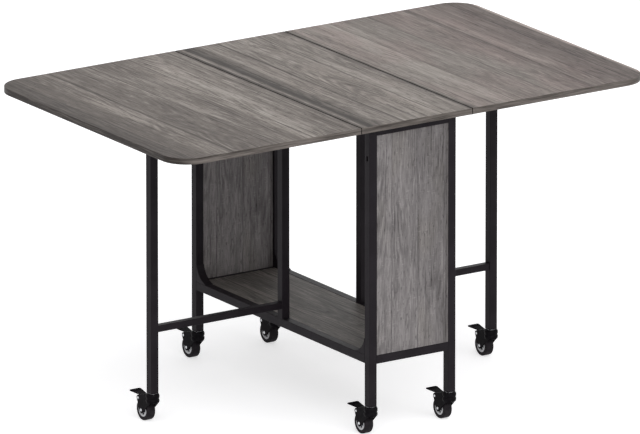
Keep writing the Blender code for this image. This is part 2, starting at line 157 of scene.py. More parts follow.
def empty_material(name: str) -> Material:
    """Makes a material with no nodes yet.

    Args:
        name: The finish's name.

    Returns:
        The new material.
    """
    material = bpy.data.materials.new(name)
    material.use_nodes = True
    material.node_tree.nodes.clear()
    return material


def seen_directly(tree: Tree) -> Node:
    """Adds nodes that are 1 to the camera, in reflections and through glass, and 0 as light.

    Args:
        tree: The node tree that gets the nodes.

    Returns:
        The node that gives the answer.
    """
    rays = add_node(tree, "LightPath").outputs
    near = {0: rays["Is Camera Ray"], 1: rays["Is Glossy Ray"]}
    seen = add_node(tree, "Math", near, operation="MAXIMUM")
    through = {0: seen, 1: rays["Is Transmission Ray"]}
    return add_node(tree, "Math", through, operation="MAXIMUM")


@dataclass(frozen=True)
class Streak:
    """A broad stripe in a board's print, by its place across the grain.

    A positive depth darkens the print at the stripe's middle, and a negative one lightens it. Some
    stripes are painted shade, along the seams and beside a leg, and one is a painted highlight at
    the right leaf's end.
    Of a tint, the depth is how much of the print's warm hue it adds there.
    """

    centre: float
    half_width: float
    depth: float

    def mask(self, tree: Tree, across: Socket, moved: float = 0.0) -> Node:
        """Adds nodes that are 1 at the stripe's middle and fall to 0 at its edges.

        Args:
            tree: The print's node tree.
            across: The place across the grain.
            moved: How far the print has been moved across the grain.

        Returns:
            The node that gives the stripe.
        """
        centre = self.centre + moved
        off = add_node(tree, "Math", {0: across, 1: centre}, operation="SUBTRACT")
        near = add_node(tree, "Math", {0: off}, operation="ABSOLUTE")
        fall = {"Value": near, "From Max": self.half_width, "To Min": 1.0, "To Max": 0.0}
        return add_node(tree, "MapRange", fall, interpolation_type="SMOOTHSTEP")


@dataclass(frozen=True)
class Marks:
    """A layer of marks in the print: their width and length, and the octaves of its noise.

    The span is the part of the noise that shows as marks. Without one, the whole noise shows.
    """

    width: float
    length: float
    octaves: float
    span: tuple[float, float] | None = None


# Real pores are 0.2 mm wide, so the finest marks are drawn 2.4 to 3.4 mm wide to show.
OAK_MARKS = {
    "fine": Marks(0.0034, 0.060, 3.0),
    "soft": Marks(0.0220, 0.450, 2.0),
    "pore": Marks(0.0030, 0.030, 1.0, (0.60, 0.72)),
    "pale_thread": Marks(0.0085, 0.280, 2.0, (0.58, 0.74)),
    "dark_thread": Marks(0.0055, 0.340, 2.0, (0.60, 0.72)),
    "figure_patch": Marks(0.0800, 0.220, 1.0, (0.50, 0.64)),
    "cloud": Marks(0.1100, 0.300, 1.0, (0.46, 0.66)),
    "ray": Marks(0.0180, 0.0050, 1.0, (0.60, 0.78)),
}


@dataclass(frozen=True)
class OakPrint:
    """Grey limed oak printed on paper, pressed under matt melamine on particle board.

    To the eye: straight soft streaks along the grain, narrow planks in slightly different
    greys, short dark pores, thin pale and dark threads, faint ray flecks across the grain,
    patches of arched figure, a warm tint in clouds and stripes, and a dull, broad sheen.
    """

    name: str
    grain: Axis = Axis.Y
    across: Axis = Axis.X
    dark: str = "#3E3835"
    middle: str = "#6E6762"
    pale: str = "#A9A29B"
    warm: str = "#786F69"
    blush: float = 0.30
    plank: float = 0.1085
    phase: float = 0.0
    seed: float = 0.0
    contrast: float = 1.0
    fineness: float = 1.0
    shortness: float = 1.0
    wander: float = 0.010
    wander_width: float = 0.080
    wander_length: float = 0.300
    plank_slide: float = 4.0
    joint_half: float = 0.0030
    joint_depth: float = 0.34
    arch_width: float = 0.0060
    arch_length: float = 0.060
    arch_repeat: float = 0.7
    streaks: tuple[Streak, ...] = ()
    tints: tuple[Streak, ...] = ()

    def marks(self, tree: Tree, grain: Node) -> dict[str, Node]:
        """Adds the layers of marks, stretched along the grain.

        Args:
            tree: The print's node tree.
            grain: The place across and along the grain, and the plank's number.

        Returns:
            The layers by name.
        """
        layers = {}
        for number, (name, mark) in enumerate(OAK_MARKS.items()):
            # The last number sets the layers' noises apart from plank to plank.
            stretch = (self.fineness / mark.width, self.shortness / mark.length, 2.3 + 1.1 * number)
            spot = add_node(tree, "VectorMath", {0: grain, 1: stretch}, operation="MULTIPLY")
            noise = {"Vector": spot, "Scale": 1.0, "Detail": mark.octaves, "Roughness": 0.6}
            layers[name] = add_node(tree, "TexNoise", noise)
            if mark.span:
                low, high = mark.span
                kept = {"Value": layers[name], "From Min": low, "From Max": high}
                layers[name] = add_node(tree, "MapRange", kept, interpolation_type="SMOOTHSTEP")
        return layers

    def arches(self, tree: Tree, middle: Node, slid: Node, key: Node) -> Socket:
        """Adds flat-sawn figure: pointed arches about a plank's middle, which start again.

        Args:
            tree: The print's node tree.
            middle: The place across the plank, 0 at its middle.
            slid: The place along the grain.
            key: The plank's number.

        Returns:
            The arches, from 0 to 1.
        """
        add = partial(add_node, tree)
        side = add("Math", {0: middle, 1: self.plank / self.arch_width}, operation="MULTIPLY")
        run = add("Math", {0: slid, 1: self.arch_repeat}, operation="PINGPONG")
        run = add("Math", {0: run, 1: 1 / self.arch_length}, operation="MULTIPLY")
        spot = add("CombineXYZ", {0: side, 1: run, 2: key})
        # A ring of the Wave node repeats every 0.1 pi of its scaled input.
        rings = {"Vector": spot, "Scale": math.pi / 10}
        rings |= {"Distortion": 3.0, "Detail": 2.0, "Detail Scale": 0.6}
        return add("TexWave", rings, wave_type="RINGS", rings_direction="Z").outputs[1]

    def build(self) -> Material:
        """Builds the print on Object coordinates.

        Returns:
            The finished material.
        """
        material = empty_material(self.name)
        tree = material.node_tree
        add = partial(add_node, tree)
        axes = add("SeparateXYZ", {0: add("TexCoord").outputs["Object"]})
        run, side = axes.outputs[self.grain.value], axes.outputs[self.across.value]
        # Planks of the print: each has its own grey and its own stretch of the grain.
        moved = add("Math", {0: side, 1: self.phase}, operation="ADD")
        count = add("Math", {0: moved, 1: self.plank}, operation="DIVIDE")
        plank = add("Math", {0: count}, operation="FLOOR")
        key = add("Math", {0: plank, 1: self.seed}, operation="ADD")
        pick = add("TexWhiteNoise", {"W": key}, noise_dimensions="1D").outputs["Value"]
        slid = add("Math", {0: pick, 1: self.plank_slide, 2: run}, operation="MULTIPLY_ADD")
        # The grain wanders a few millimetres to either side over a hand's breadth.
        spot = add("CombineXYZ", {0: side, 1: slid, 2: key})
        broad = (1 / self.wander_width, 1 / self.wander_length, 1.7)
        spot = add("VectorMath", {0: spot, 1: broad}, operation="MULTIPLY")
        bend = add("TexNoise", {"Vector": spot, "Scale": 1.0, "Detail": 2.0})
        bent = add("Math", {0: bend, 1: self.wander, 2: side}, operation="MULTIPLY_ADD").outputs[0]
        layers = self.marks(tree, add("CombineXYZ", {0: bent, 1: slid, 2: key}))
        share = add("Math", {0: count}, operation="FRACT")
        middle = add("Math", {0: share, 1: 0.5}, operation="SUBTRACT")
        arches = {0: self.arches(tree, middle, slid, key), 1: layers["figure_patch"]}
        figure = add("Math", arches, operation="MULTIPLY")
        # Where two planks of the print meet there is a dark line, drawn 3 mm to each side to show.
        away = add("Math", {0: middle}, operation="ABSOLUTE")
        meet = {"Value": away, "From Min": 0.5 - self.joint_half / self.plank, "From Max": 0.5}
        joint = add("MapRange", meet, interpolation_type="SMOOTHSTEP")
        # Each layer's weight in the tone, and its usual value, which leaves the tone as it is.
        weights = [
            (layers["fine"], 0.76 * self.contrast, 0.5),
            (layers["soft"], 0.62 * self.contrast, 0.5),
            (layers["pore"], -0.32 * self.contrast, 0.1),
            (layers["ray"], 0.16, 0.05),
            (pick, 0.12 * self.contrast, 0.5),
            (layers["pale_thread"], 0.16 * self.contrast, 0.1),
            (layers["dark_thread"], -0.44 * self.contrast, 0.1),
            (figure, -0.20 * self.contrast, 0.2),
            (joint, -self.joint_depth * self.contrast, 0.0),
        ]
        # The wander moves a mark by half its reach on average, so the stripes move too.
        drift = self.wander / 2
        weights += [(stripe.mask(tree, bent, drift), -stripe.depth, 0.0) for stripe in self.streaks]
        tone = 0.5 - sum(weight * usual for _, weight, usual in weights)
        for source, weight, _ in weights:
            tone = add("Math", {0: source, 1: weight, 2: tone}, operation="MULTIPLY_ADD")
        shade = add("MapRange", {"Value": tone, "From Min": 0.0, "From Max": 0.5})
        glow = add("MapRange", {"Value": tone, "From Min": 0.5, "From Max": 1.0})
        colour = {"Factor": shade, 6: srgb(self.dark), 7: srgb(self.middle)}
        colour = add("Mix", colour, data_type="RGBA").outputs[2]
        colour = {"Factor": glow, 6: colour, 7: srgb(self.pale)}
        colour = add("Mix", colour, data_type="RGBA").outputs[2]
        blush = add("Math", {0: layers["cloud"], 1: self.blush}, operation="MULTIPLY")
        for tint in self.tints:
            stripe = {0: tint.mask(tree, bent, drift), 1: tint.depth, 2: blush}
            blush = add("Math", stripe, operation="MULTIPLY_ADD")
        colour = {"Factor": blush, 6: colour, 7: srgb(self.warm)}
        colour = add("Mix", colour, data_type="RGBA", blend_type="COLOR").outputs[2]
        # The open grain is duller, and the threads lie a little deeper.
        dull = {"Value": layers["fine"], "From Min": 0.3, "From Max": 0.7}
        dull = add("MapRange", dull | {"To Min": 0.66, "To Max": 0.52})
        relief = {0: layers["dark_thread"], 1: -0.8, 2: layers["fine"]}
        relief = add("Math", relief, operation="MULTIPLY_ADD")
        bump = add("Bump", {"Height": relief, "Strength": 0.35, "Distance": 0.0004})
        skin = {"Base Color": colour, "Roughness": dull, "Normal": bump, "IOR": 1.26}
        add("OutputMaterial", {"Surface": add("BsdfPrincipled", skin)})
        return material


@dataclass(frozen=True)
class EdgeBand:
    """Oak-grain plastic edge band, glued round a board.

    To the eye: the print's greys in level streaks round the rim, a shade darker and smoother, and
    darker towards the top's left end.
    """

    name: str = "grey_oak_edge_band"
    dark: str = "#36312E"
    pale: str = "#7B746F"
    ior: float = 1.22
    streak: Streak = Streak(-0.654, 0.050, 0.18)
    # Height and length of the streaks, and of the patches behind them.
    marks: Pairs = ((0.002, 0.06), (0.012, 0.20))

    def build(self) -> Material:
        """Builds level streaks that follow the rim whichever way it turns.

        Returns:
            The finished material.
        """
        material = empty_material(self.name)
        tree = material.node_tree
        add = partial(add_node, tree)
        place = add("TexCoord").outputs["Object"]
        end = self.streak.mask(tree, add("SeparateXYZ", {0: place}).outputs[Axis.X.value])
        tone = add("Math", {0: end, 1: -self.streak.depth}, operation="MULTIPLY")
        for height, length in self.marks:
            stretch = (1 / length, 1 / length, 1 / height)
            spot = add("VectorMath", {0: place, 1: stretch}, operation="MULTIPLY")
            noise = {"Vector": spot, "Scale": 1.0, "Detail": 3.0, "Roughness": 0.6}
            tone = add("Math", {0: tone, 1: add("TexNoise", noise)}, operation="ADD")
        tone = add("MapRange", {"Value": tone, "From Min": 0.78, "From Max": 1.22})
        colour = {"Factor": tone, 6: srgb(self.dark), 7: srgb(self.pale)}
        colour = add("Mix", colour, data_type="RGBA").outputs[2]
        dull = add("MapRange", {"Value": tone, "To Min": 0.42, "To Max": 0.54})
        bump = add("Bump", {"Height": tone, "Strength": 0.2, "Distance": 0.0002})
        skin = {"Base Color": colour, "Roughness": dull, "Normal": bump, "IOR": self.ior}
        add("OutputMaterial", {"Surface": add("BsdfPrincipled", skin)})
        return material


@dataclass(frozen=True)
class SpeckledFinish:
    """A painted, moulded or plated finish with a fine skin.

    Two near colours mix in patches, and a finer grit sets the skin's relief and its gloss.
    Each instance says in its comment what it is and what that gives the eye.
    """

    name: str
    base: str
    second: str
    patch: float
    grit: float
    rough: tuple[float, float]
    relief: float
    metallic: float = 0.0
    ior: float = 1.50

    def build(self) -> Material:
        """Builds the finish on Object coordinates.

        Returns:
            The finished material.
        """
        material = empty_material(self.name)
        add = partial(add_node, material.node_tree)
        place = add("TexCoord").outputs["Object"]
        patches = add("TexNoise", {"Vector": place, "Scale": 1 / self.patch, "Detail": 3.0})
        grit = add("TexNoise", {"Vector": place, "Scale": 1 / self.grit, "Detail": 2.0})
        share = {"Value": patches, "From Min": 0.35, "From Max": 0.65}
        share = add("MapRange", share, interpolation_type="SMOOTHSTEP")
        colour = {"Factor": share, 6: srgb(self.base), 7: srgb(self.second)}
        colour = add("Mix", colour, data_type="RGBA").outputs[2]
        dull = {"Value": grit, "From Min": 0.3, "From Max": 0.7}
        dull = add("MapRange", dull | {"To Min": self.rough[0], "To Max": self.rough[1]})
        bump = add("Bump", {"Height": grit, "Strength": 0.3, "Distance": self.relief})
        skin = {"Base Color": colour, "Roughness": dull, "Normal": bump}
        skin |= {"Metallic": self.metallic, "IOR": self.ior}
        add("OutputMaterial", {"Surface": add("BsdfPrincipled", skin)})
        return material


@dataclass(frozen=True)
class Finishes:
    """Every finish of the table, built once."""

    center: Material
    leaf_left: Material
    leaf_right: Material
    panel: Material
    shelf: Material
    band: Material
    seam: Material
    coat: Material
    plug: Material
    pressing: Material
    pedal: Material
    tyre: Material
    disc: Material
    zinc: Material
    pad: Material

    @classmethod
    def make(cls) -> "Finishes":
        """Builds the finishes.

        Returns:
            The finishes, ready to go on the pieces.
        """
        plans = {
            "center": OakPrint(
                "grey_oak_print_center",
                dark="#332E2B",
                middle="#6B645F",
                phase=0.037,
                seed=3.0,
                streaks=(
                    # The first two stripes are painted shade along the seams.
                    Streak(-0.151, 0.006, 0.42),
                    Streak(0.151, 0.006, 0.42),
                    Streak(-0.128, 0.014, 0.36),
                    Streak(-0.114, 0.036, 0.46),
                    Streak(-0.038, 0.006, 0.20),
                    Streak(0.095, 0.060, -0.14),
                ),
            ),
            "leaf_left": OakPrint(
                "grey_oak_print_left",
                middle="#645D58",
                phase=0.070,
                seed=11.0,
                streaks=(
                    # The first stripe is painted shade along the seam.
                    Streak(-0.155, 0.006, 0.42),
                    Streak(-0.650, 0.150, 0.46),
                    Streak(-0.504, 0.009, 0.24),
                    Streak(-0.450, 0.080, 0.12),
                    Streak(-0.330, 0.045, 0.08),
                    Streak(-0.268, 0.060, -0.16),
                ),
                tints=(Streak(-0.600, 0.120, 0.30),),
            ),
            "leaf_right": OakPrint(
                "grey_oak_print_right",
                middle="#736C67",
                warm="#7E6C69",
                phase=0.0505,
                seed=23.0,
                contrast=0.80,
                streaks=(
                    # The first stripe is painted shade along the seam.
                    Streak(0.155, 0.006, 0.42),
                    Streak(0.255, 0.060, -0.14),
                    Streak(0.486, 0.010, 0.25),
                    Streak(0.560, 0.040, 0.20),
                    Streak(0.612, 0.045, 0.36),
                    # These two stripes are a painted shade line and a painted highlight on the
                    # rounded right end.
                    Streak(0.639, 0.006, 0.20),
                    Streak(0.650, 0.010, -0.42),
                ),
                tints=(Streak(0.575, 0.200, 0.38),),
            ),
            "panel": OakPrint(
                "grey_oak_print_panel",
                grain=Axis.Z,
                dark="#3A3636",
                middle="#726E6E",
                pale="#A8A3A2",
                warm="#78736D",
                plank=0.072,
                phase=0.058,
                seed=37.0,
                contrast=0.86,
                joint_depth=0.16,
                fineness=1.25,
                shortness=1.8,
                streaks=(
                    Streak(-0.080, 0.040, -0.08),
                    Streak(0.068, 0.040, 0.06),
                    # This stripe is painted shade beside the leg at the panel's right edge.
                    Streak(0.093, 0.009, 0.26),
                ),
            ),
            "shelf": OakPrint(
                "grey_oak_print_shelf",
                dark="#373534",
                middle="#6B6764",
                warm="#75716C",
                phase=0.050,
                seed=41.0,
                contrast=0.85,
            ),
            "band": EdgeBand(),
            # The edges that meet at a seam get painted shade, a near-black band, so a seam reads as
            # a dark line.
            "seam": EdgeBand("painted_seam_shade", "#121110", "#221F1D", 1.10),
            # Black polyester powder coat baked on steel tube: an even charcoal with a faint
            # orange peel, 1 to 2 mm across, drawn 3 mm across to show.
            "coat": SpeckledFinish(
                "black_powder_coat",
                "#1C181C", "#221E22", 0.060, 0.0030, (0.42, 0.54), 0.00012,
                ior=1.18,
            ),
            # Black polyethylene foot plug, moulded: dull and slightly mottled.
            "plug": SpeckledFinish(
                "black_polyethylene_plug", "#151416", "#1C1B1D", 0.012, 0.0015, (0.55, 0.68), 0.0001
            ),
            # Pressed steel under black stoving enamel: glossy, with shallow press marks.
            "pressing": SpeckledFinish(
                "black_enamelled_pressing",
                "#110F12", "#181619", 0.010, 0.0020, (0.16, 0.28), 0.0001,
                ior=1.09,
            ),
            # Pressed steel pedal under satin black enamel: deep black, so its plate stays dark.
            "pedal": SpeckledFinish(
                "black_satin_enamel_pedal",
                "#0E0C0F", "#141215", 0.009, 0.0016, (0.34, 0.48), 0.0001,
                ior=1.04,
            ),
            # Black polyurethane tread, moulded: satin, with a fine scuffed skin.
            "tyre": SpeckledFinish(
                "black_polyurethane_tread",
                "#242124", "#2C292C", 0.008, 0.0016, (0.44, 0.60), 0.0001,
                ior=1.12,
            ),
            # Pale grey nylon hub ring, moulded: bright and smooth, a little uneven.
            "disc": SpeckledFinish(
                "grey_nylon_hub",
                "#CFCFD2", "#DDDDE0", 0.006, 0.0012, (0.34, 0.46), 0.00006,
                ior=1.53,
            ),
            # Zinc plate on steel: a bright metal with pale spangle.
            "zinc": SpeckledFinish(
                "zinc_plated_steel",
                "#C3C4C8", "#D8D9DC", 0.005, 0.0012, (0.24, 0.38), 0.00006,
                metallic=1.0,
            ),
            # Black rubber pad under the leaf: dull, with a fine moulded grain.
            "pad": SpeckledFinish(
                "black_rubber_pad",
                "#171618", "#1F1E20", 0.010, 0.0015, (0.70, 0.84), 0.00015,
                ior=1.52,
            ),
        }
        return cls(**{use: plan.build() for use, plan in plans.items()})


def corners(node: str) -> tuple[Vector, Vector]:
    """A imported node's lowest and highest corners at rest."""
    low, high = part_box(node)
    return Vector(low), Vector(high)


def unique(items: Iterable) -> list:
    """The items once each, in the order they come in, so that each run gives the same mesh."""
    return list(dict.fromkeys(items))


def faces_of(verts: Verts) -> Faces:
    """The faces that these vertices belong to."""
    return unique(face for vert in verts for face in vert.link_faces)


def paint(faces: Faces, finish: int) -> None:
    """Gives faces a piece's finish by its number."""
    for face in faces:
        face.material_index = finish


def add_block(bm: Mesh, low: Vector, high: Vector) -> Verts:
    """Adds a box between two corners.

    Args:
        bm: The mesh that gets the box.
        low: Its lowest corner.
        high: Its highest corner.

    Returns:
        The box's vertices.
    """
    place = Matrix.Translation((low + high) / 2) @ Matrix.Diagonal((*(high - low), 1.0))
    return bmesh.ops.create_cube(bm, size=1.0, matrix=place)["verts"]


def ease(bm: Mesh, edges: Edges, radius: float, segments: int = 3) -> None:
    """Rounds the given edges.

    Args:
        bm: The mesh that holds the edges.
        edges: The edges to round.
        radius: The rounding's radius.
        segments: The rounding's steps.
    """
    bmesh.ops.bevel(
        bm,
        geom=edges,
        offset=radius,
        offset_type="OFFSET",
        affect="EDGES",
        segments=segments,
        profile=0.5,
        material=-1,
        clamp_overlap=True,
    )


def edges_along(verts: Verts, axis: Axis) -> Edges:
    """Finds the straight edges among vertices that run along an axis.

    Args:
        verts: The vertices that both ends of an edge are among.
        axis: The way that the edges run.

    Returns:
        The edges found.
    """
    chosen = set(verts)
    edges = unique(edge for vert in verts for edge in vert.link_edges)
    spans = {e: e.verts[1].co - e.verts[0].co for e in edges if set(e.verts) <= chosen}
    return [edge for edge, span in spans.items() if abs(span[axis.value]) > 0.999 * span.length]


def sharp_edges(faces: Faces, angle: float) -> Edges:
    """The edges of these faces whose two sides meet at more than an angle."""
    edges = unique(edge for face in faces for edge in face.edges)
    return [edge for edge in edges if len(edge.link_faces) == 2 and edge.calc_face_angle() > angle]


def turn(
    bm: Mesh, outline: Outline, axis: Axis, centre: Vector, steps: int, finish: int = 0
) -> Faces:
    """Turns an outline about an axis, as on a lathe.

    Args:
        bm: The mesh that gets the turned shape.
        outline: Radius and reach along the axis, from one pole to the other or round to itself.
        axis: The axis of the turning.
        centre: The point on the axis that the reach is measured from.
        steps: Sides of a full turn.
        finish: The number of its finish.

    Returns:
        The new faces.
    """
    before = set(bm.faces)
    verts = [bm.verts.new(centre + axis.arm(radius, reach)) for radius, reach in outline]
    edges = [bm.edges.new(pair) for pair in zip(verts, verts[1:])]
    way = {"cent": centre, "axis": axis.vector, "angle": FULL_TURN, "steps": steps}
    bmesh.ops.spin(bm, geom=[*verts, *edges], use_merge=True, **way)
    faces = [face for face in bm.faces if face not in before]
    verts = unique(vert for face in faces for vert in face.verts)
    bmesh.ops.remove_doubles(bm, verts=verts, dist=TOUCH)
    faces = [face for face in bm.faces if face not in before]
    bmesh.ops.recalc_face_normals(bm, faces=faces)
    paint(faces, finish)
    return faces


def mirrored(half: Outline) -> Outline:
    """An outline and its mirror image along the axis, which share the point where they meet."""
    return half + [(radius, -reach) for radius, reach in reversed(half)][1:]


def add_hull(bm: Mesh, verts: Verts) -> Faces:
    """Wraps loose vertices in their convex skin, with flat areas left as single faces.

    Args:
        bm: The mesh that holds the vertices.
        verts: The vertices to wrap.

    Returns:
        The faces of the skin.
    """
    before = set(bm.faces)
    inside = set(bmesh.ops.convex_hull(bm, input=verts)["geom_interior"])
    bmesh.ops.delete(bm, geom=[vert for vert in verts if vert in inside], context="VERTS")
    faces = [face for face in bm.faces if face not in before]
    verts = unique(vert for face in faces for vert in face.verts)
    edges = unique(edge for face in faces for edge in face.edges)
    bmesh.ops.dissolve_limit(bm, angle_limit=math.radians(0.5), verts=verts, edges=edges)
    faces = [face for face in bm.faces if face not in before]
    bmesh.ops.recalc_face_normals(bm, faces=faces)
    return faces


def add_ring(bm: Mesh, radius: float, centre: Vector, steps: int = 24) -> Verts:
    """Adds a circle of loose vertices about a point, square to X.

    Args:
        bm: The mesh that gets the vertices.
        radius: The circle's radius.
        centre: The circle's middle.
        steps: How many vertices it has.

    Returns:
        The circle's vertices.
    """
    place = Matrix.Translation(centre) @ Matrix.Rotation(QUARTER_TURN, 4, "Y")
    return bmesh.ops.create_circle(bm, radius=radius, segments=steps, matrix=place)["verts"]


def sink(bm: Mesh, faces: Faces, move: Vector, finish: int) -> None:
    """Pushes faces into a tube and leaves walls round them.

    Args:
        bm: The tube.
        faces: The faces to push in.
        move: How far they go.
        finish: The number of the finish at the bottom.
    """
    grown = bmesh.ops.extrude_face_region(bm, geom=faces)["geom"]
    bmesh.ops.delete(bm, geom=faces, context="FACES_ONLY")
    verts = [item for item in grown if isinstance(item, bmesh.types.BMVert)]
    bmesh.ops.translate(bm, verts=verts, vec=move)
    paint([item for item in grown if isinstance(item, bmesh.types.BMFace)], finish)
    bmesh.ops.recalc_face_normals(bm, faces=list(bm.faces))


def add_piece(
    name: str, bm: Mesh, finishes: list[Material], body: str, node: str
) -> None:
    """Makes an object of a mesh, with its finishes, its body and the node it stands for.

    Args:
        name: The piece's name.
        bm: Its shape in the table's frame, which is freed.
        finishes: Its materials, in the order of the faces' numbers.
        body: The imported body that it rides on.
        node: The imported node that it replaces.
    """
    for face in bm.faces:
        face.smooth = True
    for edge in bm.edges:
        edge.smooth = len(edge.link_faces) == 2 and edge.calc_face_angle() < SHADED_SHARP
    mesh = bpy.data.meshes.new(name)
    bm.to_mesh(mesh)
    bm.free()
    for material in finishes:
        mesh.materials.append(material)
    piece = bpy.data.objects.new(name, mesh)
    bpy.context.scene.collection.objects.link(piece)
    level = piece.modifiers.new("even_normals", "WEIGHTED_NORMAL")
    level.keep_sharp = True
    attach(piece, body)
    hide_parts(node)
    LOG.info("%s rides on %s with %d faces", name, body, len(mesh.polygons))


@dataclass
class OakBoards:
    """The three boards of the top, the two end panels and the shelf."""

    corner_radius: float = 0.068
    corner_steps: int = 22
    rim_round: float = 0.0012
    panel_round: float = 0.0008
    # The black strips under the seams, which stand in for the shade below them.
    strip_lap: float = 0.0040
    strip_reach: float = 0.0036
    strip_thickness: float = 0.00024
    strip_drop: float = 0.00004
    # Under the first tilt a face is part of the rim, and over the second it turns to a seam.
    rim_tilt: float = 0.95
    seam_tilt: float = 0.30

    def top_board(
        self, node: str, outer: int, body: str, face: Material, finishes: Finishes
    ) -> None:
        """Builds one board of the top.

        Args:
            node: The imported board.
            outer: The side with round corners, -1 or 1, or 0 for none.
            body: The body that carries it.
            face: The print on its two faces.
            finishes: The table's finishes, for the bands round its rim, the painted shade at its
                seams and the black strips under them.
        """
        low, high = corners(node)
        bm = bmesh.new()
        upright = edges_along(add_block(bm, low, high), Axis.Z)
        middle = (low.x + high.x) / 2
        rounded = [edge for edge in upright if (edge.verts[0].co.x - middle) * outer > 0]
        if rounded:
            ease(bm, rounded, self.corner_radius, self.corner_steps)
        rims = sharp_edges(list(bm.faces), RIM_SHARP)
        rims = [edge for edge in rims if abs(edge.verts[0].co.z - edge.verts[1].co.z) < TOUCH]
        ease(bm, rims, self.rim_round)
        # Rim faces get the band, and faces towards a seam get the painted seam shade.
        for side in bm.faces:
            inward = side.normal.x * (-outer if outer else math.copysign(1.0, side.normal.x))
            if abs(side.normal.z) < self.rim_tilt:
                side.material_index = 2 if inward > self.seam_tilt else 1
        # Black strips under the seams stand in for shade.
        if not outer:
            self.seam_shade_strips(bm, node)
        coats = [face, finishes.band, finishes.seam, finishes.pad]
        add_piece("board_" + node, bm, coats, body, node)

    def seam_shade_strips(self, bm: Mesh, node: str) -> None:
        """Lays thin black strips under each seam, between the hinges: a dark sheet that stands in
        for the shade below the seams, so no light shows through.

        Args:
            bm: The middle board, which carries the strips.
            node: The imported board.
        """
        low, high = corners(node)
        top = low.z - self.strip_drop
        for edge, (side, sign) in zip((low.x, high.x), SIDES.items()):
            hinges = [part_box(f"hinge_wing_fixed_{side}_{end}") for end in ENDS]
            breaks = [low.y + self.rim_round, *(corner[1] for box in hinges for corner in box)]
            breaks.append(high.y - self.rim_round)
            ends = sorted((edge - sign * self.strip_lap, edge + sign * self.strip_reach))
            for start, stop in zip(breaks[::2], breaks[1::2]):
                first = Vector((ends[0], start, top - self.strip_thickness))
                paint(faces_of(add_block(bm, first, Vector((ends[1], stop, top)))), 3)

    def base_board(self, node: str, face: Material) -> None:
        """Builds one eased board of the base.

        Args:
            node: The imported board.
            face: The print on it.
        """
        bm = bmesh.new()
        add_block(bm, *corners(node))
        ease(bm, list(bm.edges), self.panel_round)
        add_piece("board_" + node, bm, [face], "base", node)

    def build(self, finishes: Finishes) -> None:
        """Builds and dresses every board.

        Args:
            finishes: The table's finishes.
        """
        self.top_board("top_center", 0, "base", finishes.center, finishes)
        self.top_board("leaf_left", -1, "leaf_left", finishes.leaf_left, finishes)
        self.top_board("leaf_right", 1, "leaf_right", finishes.leaf_right, finishes)
        for end in ENDS:
            self.base_board("end_panel_" + end, finishes.panel)
        self.base_board("bottom_shelf", finishes.shelf)


